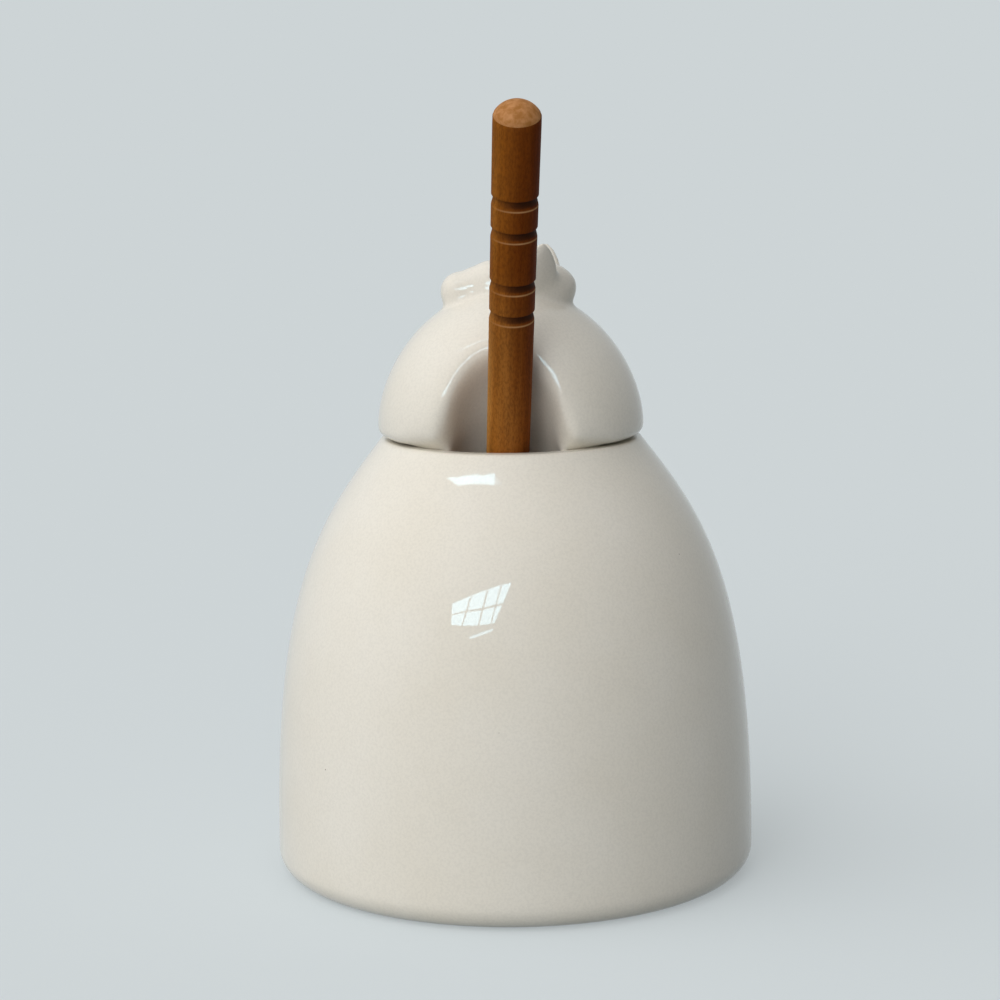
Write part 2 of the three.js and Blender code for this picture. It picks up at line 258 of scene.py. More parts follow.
# %% Discs, handle, grooves and the domed end
disc = (HEAD_LENGTH - HEAD_SLOTS * HEAD_SLOT) / (HEAD_SLOTS + 2)  # the shoulder above counts as one
dipper_outline = [(0, 0)]
for number in range(HEAD_SLOTS + 1):
    low = number * (disc + HEAD_SLOT)
    high = low + disc
    if number:
        dipper_outline += [(HEAD_CORE_R + out, low - away) for out, away in SLOT_FLARE]
    dipper_outline += arc(barrel(low + HEAD_BEVEL) - HEAD_BEVEL, low + HEAD_BEVEL, HEAD_BEVEL, -90, 0, 4)
    if number < HEAD_SLOTS:
        dipper_outline += arc(barrel(high - HEAD_BEVEL) - HEAD_BEVEL, high - HEAD_BEVEL, HEAD_BEVEL, 0, 90, 4)
        dipper_outline += [(HEAD_CORE_R + out, high + away) for out, away in SLOT_FLARE[::-1]]
shoulder = (barrel(high - HEAD_BEVEL), high - HEAD_BEVEL)
halfway = (shoulder[1] + HEAD_LENGTH) / 2
neck_end = (HANDLE_NECK_R, HEAD_LENGTH)
dipper_outline += curve(shoulder, (shoulder[0], halfway), (HANDLE_NECK_R, halfway), neck_end, steps=12)
for middle in RINGS:
    dipper_outline += [(handle(middle + step) - depth, middle + step) for step, depth in GROOVE]
cap_r = (HANDLE_TOP_R**2 + HANDLE_DOME**2) / (2 * HANDLE_DOME)
cap_start = math.degrees(math.asin((cap_r - HANDLE_DOME) / cap_r))
cap = arc(0, DIPPER_LENGTH - cap_r, cap_r, cap_start, 90, 14)
dipper_outline += [(cap[0][0] + out, cap[0][1] + up) for out, up in WORN_EDGE]
dipper_outline += cap[1:-1] + [(0, DIPPER_LENGTH)]
print(len(dipper_outline), "points along the dipper")

# %% [markdown]
# The domed end was sanded a little askew. Which points are selected can only be set in object mode, so
# they are picked there by their height and then turned in edit mode. With no window, Rotate turns the
# other way and ignores the pivot setting, so its angle is negative and its centre is given.

# %% Spin the dipper and slant its end
DOME_SLANT = math.radians(10)  # towards the niche's side
EDGE_MARGIN = 0.3  # the worn edge just below the dome turns with it

dipper = spun("turned_dipper", dipper_outline, steps=72)
choose(dipper)
bpy.ops.object.mode_set(mode="EDIT")
bpy.ops.mesh.select_all(action="DESELECT")
bpy.ops.object.mode_set(mode="OBJECT")
dome_z = (DIPPER_LENGTH - HANDLE_DOME) * MM
for vertex in dipper.data.vertices:
    vertex.select = vertex.co.z > dome_z - EDGE_MARGIN * MM
bpy.ops.object.mode_set(mode="EDIT")
bpy.ops.transform.rotate(value=-DOME_SLANT, orient_axis="X", center_override=(0, 0, dome_z))
bpy.ops.object.mode_set(mode="OBJECT")
top = max(dipper.data.vertices, key=lambda vertex: vertex.co.z).co / MM
print("highest point of the slanted dome, mm:", [round(v, 2) for v in top])

# %% [markdown]
# The finished dipper leans 18.5 degrees towards the niche and 3.2 degrees aside, standing on the jar's
# floor with its handle on the lip of the mouth. The object is turned and moved as by hand, and the
# place is then applied to its mesh, because a finished piece keeps its object at the origin.

# %% Lean the dipper
LEAN = math.radians(18.5)
SWAY = math.radians(3.2)
LOWER_END = Vector((-4.1884, 9.4788, 8.3363)) * MM  # the solid's own place

dipper_turn = (Matrix.Rotation(SWAY, 3, "Y") @ Matrix.Rotation(LEAN, 3, "X")).to_euler("XYZ")
dipper.rotation_euler = dipper_turn
dipper.location = LOWER_END
choose(dipper)
bpy.ops.object.transform_apply(location=True, rotation=True, scale=True)
bpy.ops.object.shade_smooth_by_angle(angle=SHARP_EDGE)
measure(dipper)

# %% [markdown]
# ## The lid
# The lid is cast hollow, with a ring underneath that sits in the mouth and a niche in its side for the
# dipper. The bee is modelled by hand, stuck on with slip and glazed over with the lid, and all the edges
# are soft with glaze. Fillets between so many shapes are hard to bevel. So we carve the lid with exact
# booleans, join the bee to it, melt everything into one skin with Voxel Remesh, and then smooth the
# skin more where the glaze lies thick.

# %% The dome and its hollow
LID_R = 27.5
CROWN_Z = 122
LID_WALL = 3.6
LID_EDGE_ROUND = 2.4
DOME_UPRIGHT = 0.42  # the share of its height over which the dome's curve is drawn upright
DOME_LEVEL = 0.607  # the share of its radius over which it is drawn level
RIM_LIFT = 0.45  # the rim's edge stands clear of the seat by this much, which shows as a dark seam
RIM_REST = 1  # beside the ring, this width of the rim isn't lifted and lies on the seat
RING_DEEP = 6  # how far the locating ring reaches into the mouth
RING_R = 22.5
RING_WALL = 3.6
LEDGE = 3.6  # up to this height over the seat the hollow is as narrow as the ring
CUT_PAST = 10  # the hollow's tool starts this far below the ring, to cut right through

edge_z = SEAT_Z + LID_EDGE_ROUND
dome_face = curve(
    (LID_R, edge_z),
    (LID_R, edge_z + (CROWN_Z - edge_z) * DOME_UPRIGHT),
    (LID_R * DOME_LEVEL, CROWN_Z),
    (0, CROWN_Z),
    steps=64,
)
ring_foot = SEAT_Z - RING_DEEP
lid_edge = arc(LID_R - LID_EDGE_ROUND, edge_z, LID_EDGE_ROUND, -90, 0)
lifted_edge = [(r, z + RIM_LIFT * (edge_z - z) / LID_EDGE_ROUND) for r, z in lid_edge]
dome_outline = [(0, ring_foot), (RING_R, ring_foot), (RING_R, SEAT_Z), (RING_R + RIM_REST, SEAT_Z)]
dome_outline += lifted_edge[:-1] + dome_face
dome = spun("dome", dome_outline, steps=144)

vault = parallel(dome_face, LID_WALL)
ledge_z = SEAT_Z + LEDGE
ring_inner_r = RING_R - RING_WALL
ledge_r = max(radius_at(vault, ledge_z), ring_inner_r)
open_end = ring_foot - CUT_PAST
hollow_outline = [(0, open_end), (ring_inner_r, open_end), (ring_inner_r, ledge_z), (ledge_r, ledge_z)]
hollow_outline += [p for p in vault[:-1] if p[1] > ledge_z] + [(0, vault[-1][1])]
hollow = spun("hollow", hollow_outline, steps=144)
measure(dome)
measure(hollow)

# %% [markdown]
# The niche is an upright trough with a round back, tilted so that it runs out through the dome where the
# handle does. A cylinder is halved along its length, and its cut face is pulled out past the dome: that
# gives the trough its straight sides. Glaze runs down and gathers on them, so they stand closer together
# than the solid's.

# %% A trough for the niche
NICHE_R = 12.55
NICHE_TILT = math.radians(27.7687)
NICHE_MIDDLE = Vector((0, -22.9943, SEAT_Z)) * MM
NICHE_GLAZE = 1.4  # on each of the niche's two sides
TROUGH_LENGTH = 110
TROUGH_REACH = 50  # from the middle of its round back out to its open end


def trough(name, grow):
    """The niche's shape, grown all round by a distance in mm, or narrowed with its back left in place."""
    start_afresh()
    bpy.ops.mesh.primitive_cylinder_add(vertices=128, radius=(NICHE_R + grow) * MM, depth=TROUGH_LENGTH * MM)
    piece = bpy.context.object
    piece.name = piece.data.name = name
    bpy.ops.object.mode_set(mode="EDIT")
    bpy.ops.mesh.select_all(action="SELECT")
    bpy.ops.mesh.bisect(plane_co=(0, 0, 0), plane_no=(0, 1, 0), clear_inner=True, use_fill=True)
    bpy.ops.mesh.extrude_region_move(TRANSFORM_OT_translate={"value": (0, -TROUGH_REACH * MM, 0)})
    bpy.ops.mesh.select_all(action="SELECT")
    bpy.ops.transform.translate(value=(0, max(-grow, 0) * MM, 0))
    bpy.ops.mesh.select_all(action="SELECT")
    bpy.ops.mesh.normals_make_consistent(inside=False)
    bpy.ops.object.mode_set(mode="OBJECT")
    piece.rotation_euler = (NICHE_TILT, 0, 0)
    piece.location = NICHE_MIDDLE
    choose(piece)
    bpy.ops.object.transform_apply(location=True, rotation=True, scale=True)
    measure(piece)
    return piece


niche = trough("niche", -NICHE_GLAZE)
niche_wall = trough("niche_wall", LID_WALL)

# %% [markdown]
# The niche's lower end is flared, as a thumb leaves wet clay. A ball, drawn out into an egg, cuts that
# soft shape, and more balls will make the bee. Each is sized and moved in edit mode, which leaves its
# object at the origin.

# %% A ball for the niche's flare
FLARE_MIDDLE = (0, -29.3, 90)
FLARE_HALF = (16, 12.9, 20)


def ball(name, middle, half, segments=64):
    """A ball with its middle and its half sizes in mm."""
    start_afresh()
    bpy.ops.mesh.primitive_uv_sphere_add(segments=segments, ring_count=segments // 2, radius=MM)
    piece = bpy.context.object
    piece.name = piece.data.name = name
    bpy.ops.object.mode_set(mode="EDIT")
    bpy.ops.mesh.select_all(action="SELECT")
    bpy.ops.transform.resize(value=half, center_override=(0, 0, 0))
    bpy.ops.transform.translate(value=Vector(middle) * MM)
    bpy.ops.object.mode_set(mode="OBJECT")
    measure(piece)
    return piece


flare = ball("flare", FLARE_MIDDLE, FLARE_HALF, segments=96)

# %% [markdown]
# ## Carving the lid
# The order follows the casting. The hollow loses the room that the niche's wall takes up, the dome loses
# that hollow, and the niche and its flare are cut last, right through. The exact solver copes with faces
# that lie in one plane, as those of the ring and the hollow's open end do.

# %% Carve
def carve(piece, tool):
    """Cuts the tool's shape out of a piece and removes the tool."""
    choose(piece)
    bpy.ops.object.modifier_add(type="BOOLEAN")
    cut = piece.modifiers[-1]
    cut.operation, cut.solver, cut.object = "DIFFERENCE", "EXACT", tool
    bpy.ops.object.modifier_apply(modifier=cut.name)
    start_afresh()
    tool.select_set(True)
    bpy.ops.object.delete()


carve(hollow, niche_wall)
carve(dome, hollow)
carve(dome, niche)
carve(dome, flare)
measure(dome)

# %% [markdown]
# ## The bee
# The bee on the real lid is a plain lump of clay with two raised wings, soft all over. It has a head,
# a thorax and an abdomen, so balls pressed into each other are the natural start, with a smaller one as
# the neck. Each is partly sunk into the crown.

# %% Head, neck, thorax and abdomen
head = ball("head", (-10.29, 0, CROWN_Z - 0.79), (4.1, 4.64, 4.29))
neck = ball("neck", (-7.3, 0, CROWN_Z + 0.1), (3.5, 4.7, 4.4))
thorax = ball("thorax", (-3, 0, CROWN_Z + 0.35), (6.2, 5.57, 5.6))
abdomen = ball("abdomen", (5.75, 0, CROWN_Z - 0.13), (8.3, 5.9, 5.75))

# %% [markdown]
# A wing is a flat pad of clay, narrower at its tip. Simple Deform's taper does that, with its thickness
# locked. The second wing mirrors the first but is made from its own ball, so neither has to be turned
# inside out by a negative scale. Hand-made wings aren't quite alike: the far one sits a little lower.

# %% The two wings
WING_THICK = 2.7
WING_TAPER = 0.75
WING_RAISE = math.radians(74)
WING_TOE = math.radians(20)  # its hind edge towards the other wing


def wing(name, side, middle, half_width, half_length, lean):
    """One raised wing. side is -1 for the wing over the niche and 1 for the other. It leans backwards."""
    piece = ball(name, (0, 0, 0), (half_width, half_length, WING_THICK / 2))
    choose(piece)
    bpy.ops.object.modifier_add(type="SIMPLE_DEFORM")
    narrow = piece.modifiers[-1]
    narrow.deform_method, narrow.deform_axis = "TAPER", "Y"
    narrow.factor, narrow.lock_z = -side * WING_TAPER, True
    bpy.ops.object.modifier_apply(modifier=narrow.name)
    turn = Matrix.Rotation(math.radians(lean), 3, "Y") @ Matrix.Rotation(side * WING_RAISE, 3, "X")
    piece.rotation_euler = (Matrix.Rotation(-side * WING_TOE, 3, "Z") @ turn).to_euler("XYZ")
    piece.location = Vector(middle) * MM
    bpy.ops.object.transform_apply(location=True, rotation=True, scale=True)
    measure(piece)
    return piece


near_wing = wing("near_wing", -1, (6.1, -6, CROWN_Z + 3.5), half_width=4.8, half_length=7.0, lean=7)
far_wing = wing("far_wing", 1, (6, 6, CROWN_Z + 2.1), half_width=5.6, half_length=7.1, lean=8)

# %% [markdown]
# ## Melting the lid and the bee into one skin
# Voxel Remesh turns everything that overlaps into one even skin of small squares, as glaze does with clay.
# The voxels are small enough to keep the ring crisp, and large enough to stay under 200,000 triangles.

# %% One skin
VOXEL = 0.44

start_afresh()
for part in (head, neck, thorax, abdomen, near_wing, far_wing, dome):
    part.select_set(True)
bpy.context.view_layer.objects.active = dome
bpy.ops.object.join()
lid = dome
lid.name = lid.data.name = "glazed_lid"
bpy.ops.object.modifier_add(type="REMESH")
remesh = lid.modifiers[-1]
remesh.mode, remesh.voxel_size, remesh.adaptivity = "VOXEL", VOXEL * MM, 0
bpy.ops.object.modifier_apply(modifier=remesh.name)
measure(lid)

# %% [markdown]
# ## Where the glaze lies thick
# The edge where the niche leaves the dome is rounded by about 4 mm, the bee's foot by about 1 mm, and
# the rest hardly at all. Bevels can't follow edges like these, but the Smooth modifier can, if a vertex
# group says how strongly it works at each point. Each weight comes from the distance to the niche's wall
# and to the dome's face.

# %% Distances to the dome's face and to the niche's wall
FACE_SPOTS = 900  # points along the dome's face that distances are measured from

points = np.empty(len(lid.data.vertices) * 3)
lid.data.vertices.foreach_get("co", points)
points = points.reshape(-1, 3) / MM
radius = np.hypot(points[:, 0], points[:, 1])

fine_face = np.array(lid_edge[:-1] + dome_face)
steps_along = np.linspace(0, len(fine_face) - 1, FACE_SPOTS)
face_r, face_z = (np.interp(steps_along, range(len(fine_face)), fine_face[:, k]) for k in (0, 1))
to_dome = np.full(len(points), np.inf)
for spot_r, spot_z in zip(face_r, face_z):
    to_dome = np.minimum(to_dome, np.hypot(radius - spot_r, points[:, 2] - spot_z))

in_niche = (points - np.array(NICHE_MIDDLE) / MM) @ np.array(Matrix.Rotation(NICHE_TILT, 3, "X"))
round_back = np.hypot(in_niche[:, 0], in_niche[:, 1] - NICHE_GLAZE)
across = np.where(in_niche[:, 1] > NICHE_GLAZE, round_back, np.abs(in_niche[:, 0]))
to_niche = np.abs(across - NICHE_R + NICHE_GLAZE)
print("nearest and furthest from the niche's wall, mm:", to_niche.min().round(3), to_niche.max().round(1))

# %% The smoothing and its fading
LEAST_WEIGHT = 0.001  # a vertex with less isn't smoothed


def fade(distance, start, end):
    """1 up to start, 0 from end on, and a soft fall between them."""
    share = np.clip((end - distance) / (end - start), 0, 1)
    return share * share * (3 - 2 * share)


def soften(piece, title, weights, factor, rounds):
    """Smooths a piece by weights, one for each of its vertices."""
    group = piece.vertex_groups.new(name=title)
    touched = np.nonzero(weights > LEAST_WEIGHT)[0]
    for index in touched:
        group.add([int(index)], float(weights[index]), "REPLACE")
    choose(piece)
    bpy.ops.object.modifier_add(type="SMOOTH")
    smooth = piece.modifiers[-1]
    smooth.vertex_group, smooth.factor, smooth.iterations = title, factor, rounds
    bpy.ops.object.modifier_apply(modifier=smooth.name)
    print(title, "touches", len(touched), "vertices")


# %% [markdown]
# The skin is smoothed four times: along the niche's edge, round the bee's foot, over the rest of the bee,
# and slightly all over. Each pair below is a fade, whole up to the first distance in mm and gone from the
# second one on. The bee's skin starts where the dome's face is left behind, so its weight is one minus
# its fade. The niche's rounding is half as wide again at the seat, and leaves out the ring under it.

# %% Soften the lid's skin
NICHE_FADE = (2.5, 8)
NICHE_WIDENING = 17  # up to this height over the seat the niche's rounding is wider
SEAT_MARGIN = 0.6
FOOT_FADE = (1, 3)
SKIN_FADE = (0.4, 1.5)
ALONG_BEE = (15.5, 19)
ACROSS_BEE = (9, 12)
CROWN_DEPTH = 9  # only this much of the crown belongs to the bee

above_seat = np.clip(points[:, 2] - SEAT_Z + SEAT_MARGIN, 0, 1)
wider = np.interp(points[:, 2], [SEAT_Z, SEAT_Z + NICHE_WIDENING], [1.5, 1])
niche_edge = fade(np.hypot(to_dome, to_niche) / wider, *NICHE_FADE) * above_seat
on_crown = fade(np.abs(points[:, 1]), *ACROSS_BEE) * fade(np.abs(points[:, 0]), *ALONG_BEE)
on_crown = on_crown * (points[:, 2] > CROWN_Z - CROWN_DEPTH)
bee_foot = fade(to_dome, *FOOT_FADE) * on_crown
bee_skin = on_crown * (1 - fade(to_dome, *SKIN_FADE))
soften(lid, "niche_edge", niche_edge, factor=1, rounds=220)
soften(lid, "bee_foot", bee_foot, factor=1, rounds=29)
soften(lid, "bee_skin", bee_skin, factor=1, rounds=22)
soften(lid, "skin", np.ones(len(points)), factor=0.5, rounds=4)
choose(lid)
bpy.ops.object.shade_smooth()
measure(lid)

# %% [markdown]
# ## Joining the pieces to the solids
# Each dressed piece now stands for the solids that it covers and moves with their body. The lid's skin
# stands for four of them, because on the real pot the glaze fuses the bee to the lid.

# %% What each piece stands for
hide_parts("jar")
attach(jar, "jar")
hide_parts("lid", "bee_body", "bee_wing_near", "bee_wing_far")
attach(lid, "lid")
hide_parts("dipper")
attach(dipper, "dipper")
print("dressed pieces:", [piece.name for piece in (jar, lid, dipper)])

# %% [markdown]
# ## Glaze
# The glaze is warm cream and glossy like glass. Seen close it isn't one colour: the pigment lies in faint
# clouds, it is finely mottled, and here and there a gas bubble has left a pinhole. All of it is built
# from noise on Object coordinates, which needs no unwrapping and stays put when the lid is lifted.

# %% Helpers for nodes
def adder(tree):
    """A function that adds nodes to a tree."""
    def add(kind, inputs=None, **settings):
        """One node, with the values of its sockets and its own settings."""
        node = tree.nodes.new("ShaderNode" + kind)
        for key, value in settings.items():
            setattr(node, key, value)
        for key, value in (inputs or {}).items():
            node.inputs[key].default_value = value
        return node

    return add


def material(name):
    """A new material, as (material, node adder, linker, shader)."""
    made = bpy.data.materials.new(name)
    made.use_nodes = True
    tree = made.node_tree
    return made, adder(tree), tree.links.new, tree.nodes["Principled BSDF"]


def ramp(add, link, source, stops):
    """A colour ramp over a socket, from a list of (place, colour or grey), and its colour socket."""
    node = add("ValToRGB")
    elements = node.color_ramp.elements
    while len(elements) < len(stops):
        elements.new(0.5)
    for element, (place, colour) in zip(elements, stops):
        element.position = place
        element.color = (*colour, 1) if isinstance(colour, tuple) else (colour, colour, colour, 1)
    link(source, node.inputs["Fac"])
    return node.outputs["Color"]


def mixed(add, link, way, share, below, above):
    """Two colours blended in a way such as MIX or MULTIPLY. share and above may be sockets or values."""
    node = add("Mix", data_type="RGBA", blend_type=way)
    for socket, value in ((node.inputs[0], share), (node.inputs[6], below), (node.inputs[7], above)):
        if isinstance(value, bpy.types.NodeSocket):
            link(value, socket)
        else:
            socket.default_value = value
    return node.outputs[2]


def times(add, link, a, b):
    """The product of two sockets."""
    node = add("Math", operation="MULTIPLY")
    link(a, node.inputs[0])
    link(b, node.inputs[1])
    return node.outputs["Value"]


def over(add, link, source, limit):
    """1 where a socket is over a limit, else 0."""
    node = add("Math", {1: limit}, operation="GREATER_THAN")
    link(source, node.inputs[0])
    return node.outputs["Value"]


# %% Cream glaze
PINHOLE_LOT = 0.84  # only the cells whose random number is over this have a pinhole
PINHOLE_BROWN = (0.17, 0.12, 0.08, 1)

glaze, add, link, shader = material("cream_glaze")
place = add("TexCoord").outputs["Object"]

clouds = add("TexNoise", {"Scale": 45, "Detail": 3, "Roughness": 0.5})
mottle = add("TexNoise", {"Scale": 1900, "Detail": 2, "Roughness": 0.6})
bubbles = add("TexVoronoi", {"Scale": 115, "Randomness": 1})
waves = add("TexNoise", {"Scale": 120, "Detail": 1, "Roughness": 0.4})
for texture in (clouds, mottle, bubbles, waves):
    link(place, texture.inputs["Vector"])

cream = ramp(add, link, clouds.outputs["Fac"], [(0.3, (0.80, 0.75, 0.65)), (0.7, (0.83, 0.787, 0.70))])
speckle = ramp(add, link, mottle.outputs["Fac"], [(0.36, 0.95), (0.58, 1.0)])
cream = mixed(add, link, "MULTIPLY", 1, cream, speckle)
pinhole = ramp(add, link, bubbles.outputs["Distance"], [(0.010, 1.0), (0.020, 0.0)])
lot = add("SeparateColor")
link(bubbles.outputs["Color"], lot.inputs["Color"])
pinhole = times(add, link, pinhole, over(add, link, lot.outputs["Red"], PINHOLE_LOT))
cream = mixed(add, link, "MIX", pinhole, cream, PINHOLE_BROWN)
link(cream, shader.inputs["Base Color"])

gloss = ramp(add, link, clouds.outputs["Fac"], [(0.3, 0.018), (0.7, 0.035)])
link(gloss, shader.inputs["Roughness"])
shader.inputs["IOR"].default_value = 1.52
swell = add("Bump", {"Strength": 0.08, "Distance": 0.25 * MM})
link(waves.outputs["Fac"], swell.inputs["Height"])
link(swell.outputs["Normal"], shader.inputs["Normal"])
print("nodes of the glaze:", len(glaze.node_tree.nodes))

# %% [markdown]
# ## Bare clay
# Only the ring that the jar stands on has no glaze. It is pale, dry and a little gritty, and gets a
# material of its own on the faces that lie flat at the very bottom.

# %% Bare clay on the foot ring
FOOT_FLAT = 0.3  # faces lower than this, in mm, that look down are the ring

clay, add, link, shader = material("bare_clay")
place = add("TexCoord").outputs["Object"]
grit = add("TexNoise", {"Scale": 2200, "Detail": 3, "Roughness": 0.7})
link(place, grit.inputs["Vector"])
dry = ramp(add, link, grit.outputs["Fac"], [(0.35, (0.50, 0.43, 0.35)), (0.65, (0.66, 0.59, 0.50))])
link(dry, shader.inputs["Base Color"])
shader.inputs["Roughness"].default_value = 0.85
tooth = add("Bump", {"Strength": 0.4, "Distance": 0.1 * MM})
link(grit.outputs["Fac"], tooth.inputs["Height"])
link(tooth.outputs["Normal"], shader.inputs["Normal"])

for piece in (jar, lid):
    piece.data.materials.clear()
    piece.data.materials.append(glaze)
jar.data.materials.append(clay)
bare = [face for face in jar.data.polygons if face.center.z < FOOT_FLAT * MM and face.normal.z < -0.8]
for face in bare:
    face.material_index = 1
print(len(bare), "faces of bare clay")

# %% [markdown]
# ## Oiled wood
# The stick is an orange brown wood with a close, even grain: soft darker bands where the year rings were
# cut, faint fibres, and all over it short dark flecks. A grain runs along its stick and not along the
# room's axes, so a Mapping node first turns the coordinates into the dipper's own, and the noises are
# then stretched along Z.

# %% Grain along the stick
BAND_BROWNS = [(0.34, (0.34, 0.120, 0.017)), (0.5, (0.45, 0.187, 0.037)), (0.68, (0.56, 0.265, 0.066))]

wood, add, link, shader = material("oiled_wood")
place = add("TexCoord").outputs["Object"]
lean = add("Mapping", {"Location": LOWER_END, "Rotation": dipper_turn}, vector_type="TEXTURE")
link(place, lean.inputs["Vector"])
along = lean.outputs["Vector"]


def stretched(scale, share, detail=3, distortion=0.0):
    """A noise whose grains are longer along the stick, by one over the share."""
    squeeze = add("Mapping", {"Scale": (1, 1, share)}, vector_type="POINT")
    link(along, squeeze.inputs["Vector"])
    texture = {"Scale": scale, "Detail": detail, "Roughness": 0.55, "Distortion": distortion}
    noise = add("TexNoise", texture)
    link(squeeze.outputs["Vector"], noise.inputs["Vector"])
    return noise.outputs["Fac"]


bands = stretched(190, 0.07, detail=2, distortion=0.3)
fibres = stretched(1300, 0.07)
flecks = stretched(3000, 0.4, detail=2)
brown = ramp(add, link, bands, BAND_BROWNS)
brown = mixed(add, link, "MULTIPLY", 0.6, brown, ramp(add, link, fibres, [(0.35, 0.7), (0.62, 1.0)]))
brown = mixed(add, link, "MULTIPLY", 0.7, brown, ramp(add, link, flecks, [(0.36, 0.6), (0.58, 1.0)]))
print("nodes of the grain:", len(wood.node_tree.nodes))

# %% [markdown]
# The stick's brown has painted light and shade laid over it. The side away from the light is painted
# darker as painted shade, and so is the end towards the top, which the lid throws less light on. The
# grooves are painted nearly black as painted shade, least on the lit side, and their lower lips get a
# painted highlight. Side and height come from the same turned coordinates, and each tone is laid over
# the grain with a Mix node.

# %% Painted shade on one side, towards the top and in the grooves, and painted highlights on the lips
# Painted shade: the side of the stick away from the light is painted darker.
SIDE_SHADE = (0.55, 0.32, 0.16, 1)
SIDE_SHADE_ACROSS = (-2.5, 4)  # across the stick in mm, from no painted side shade to all
# Painted shade: the stick is painted darker towards its top end, which the lid throws less light on.
TOP_SHADE = (0.54, 0.38, 0.12, 1)
TOP_SHADE_ALONG = (96, 128)  # up the stick in mm, from no painted shade to the most
TOP_SHADE_MOST = 0.95
# Painted shade: the grooves' recesses are painted nearly black, most on the shaded side.
GROOVE_SHADE = (0.03, 0.008, 0.002, 1)
# Painted highlight: the grooves' lower lips are painted pale.
LIP_HIGHLIGHT = (0.66, 0.38, 0.17, 1)
GROOVE_PAINT_ACROSS = (-4, 1.5)  # the painted groove shade and lip highlight grow over this width
LIT_SIDE_GROOVE_PAINT = 0.12  # what the lit side has of the painted groove shade and lip highlight
GROOVE_SHADE_STOPS = [(-1.0, 0.0), (-0.6, 0.8), (-0.2, 0.95), (0.62, 0.95), (0.72, 0.0)]
LIP_HIGHLIGHT_STOPS = [(-1.62, 0.0), (-1.48, 0.5), (-1.36, 0.5), (-1.18, 0.0)]
LOWEST, HIGHEST = RINGS[0] - 3, RINGS[-1] + 3  # a ramp over the grooves starts and ends here

axes = add("SeparateXYZ")
link(along, axes.inputs["Vector"])
side, height = axes.outputs["X"], axes.outputs["Z"]


def between(source, start, end, least=0, most=1):
    """A share that goes from least to most while a socket goes from start to end, in mm."""
    node = add("MapRange", {"From Min": start * MM, "From Max": end * MM, "To Min": least, "To Max": most})
    link(source, node.inputs["Value"])
    return node.outputs["Result"]


def along_rings(stops):
    """A share that follows the same stops, (mm from the groove's middle, share), at every groove."""
    all_stops = [(ring + step, share) for ring in RINGS for step, share in stops]
    all_stops = [((z - LOWEST) / (HIGHEST - LOWEST), share) for z, share in all_stops]
    return ramp(add, link, between(height, LOWEST, HIGHEST), all_stops)


# Painted shade on one side and towards the top end, then painted shade in the grooves and a painted highlight
# on their lower lips.
brown = mixed(add, link, "MULTIPLY", between(side, *SIDE_SHADE_ACROSS), brown, SIDE_SHADE)
brown = mixed(add, link, "MULTIPLY", between(height, *TOP_SHADE_ALONG, most=TOP_SHADE_MOST), brown, TOP_SHADE)
# The painted groove shade and lip highlight are strongest on the shaded side of the stick.
groove_paint_by_side = between(side, *GROOVE_PAINT_ACROSS, least=LIT_SIDE_GROOVE_PAINT)
brown = mixed(add, link, "MIX", times(add, link, along_rings(GROOVE_SHADE_STOPS), groove_paint_by_side), brown, GROOVE_SHADE)
brown = mixed(add, link, "MIX", times(add, link, along_rings(LIP_HIGHLIGHT_STOPS), groove_paint_by_side), brown, LIP_HIGHLIGHT)
print("grooves at heights, mm:", [round(ring, 2) for ring in RINGS])

# %% [markdown]
# The domed end shows the ends of the fibres, which are lighter and mottled, not striped. A point is on
# the dome when it lies beyond the slanted plane of the dome's edge, and the dot product with the dome's
# axis tells that. Oiled wood is nearly matt, and its flecks are fine dents.

# %% End grain, and the finished wood
END_TONES = [(0.35, (0.36, 0.15, 0.04)), (0.65, (0.52, 0.25, 0.10))]

end_mottle = add("TexNoise", {"Scale": 700, "Detail": 3, "Roughness": 0.6})
link(along, end_mottle.inputs["Vector"])
end_grain = ramp(add, link, end_mottle.outputs["Fac"], END_TONES)
dome_axis = (0, -math.sin(DOME_SLANT), math.cos(DOME_SLANT))
through_dome = add("VectorMath", {1: dome_axis}, operation="DOT_PRODUCT")
link(along, through_dome.inputs[0])
on_top = over(add, link, through_dome.outputs["Value"], dome_z * math.cos(DOME_SLANT))
brown = mixed(add, link, "MIX", on_top, brown, end_grain)
link(brown, shader.inputs["Base Color"])
link(ramp(add, link, fibres, [(0.3, 0.7), (0.7, 0.58)]), shader.inputs["Roughness"])
shader.inputs["Specular IOR Level"].default_value = 0.06
grain = add("Bump", {"Strength": 0.3, "Distance": 0.06 * MM})
link(flecks, grain.inputs["Height"])
link(grain.outputs["Normal"], shader.inputs["Normal"])

dipper.data.materials.clear()
dipper.data.materials.append(wood)
print("nodes of the wood:", len(wood.node_tree.nodes))

# %% [markdown]
# ## The stage
# A very large pale floor, and no wall, so that the pot can be looked at from every side. Near the pot the
# floor is matt paper that takes its shadow. Further out it turns into an even pale tone, which the world
# takes up beyond the floor's edge, so no horizon shows. To the camera and in the glaze both look the
# same, while as a light the floor only gives back what falls on it.

# %% Floor
PALE = (0.611, 0.658, 0.672)  # the tone of floor and backdrop
PAPER_SHARE = 0.55  # how much of the tone near the pot is the paper's own
FLOOR_LIGHT = 0.84  # the light that falls on the floor, worked out from the world's light below
FLOOR_SIZE = 240  # metres
PAPER_REACH = (0.6, 3)  # between these distances, in metres, the paper turns into the even tone


def seen_or_mirrored(add, link):
    """1 for what the camera sees, directly, in a gloss or through glass, and 0 for light."""
    path = add("LightPath")
    total = path.outputs["Is Camera Ray"]
    for kind in ("Is Glossy Ray", "Is Transmission Ray"):
        either = add("Math", operation="MAXIMUM")
        link(total, either.inputs[0])
        link(path.outputs[kind], either.inputs[1])
        total = either.outputs["Value"]
    return total


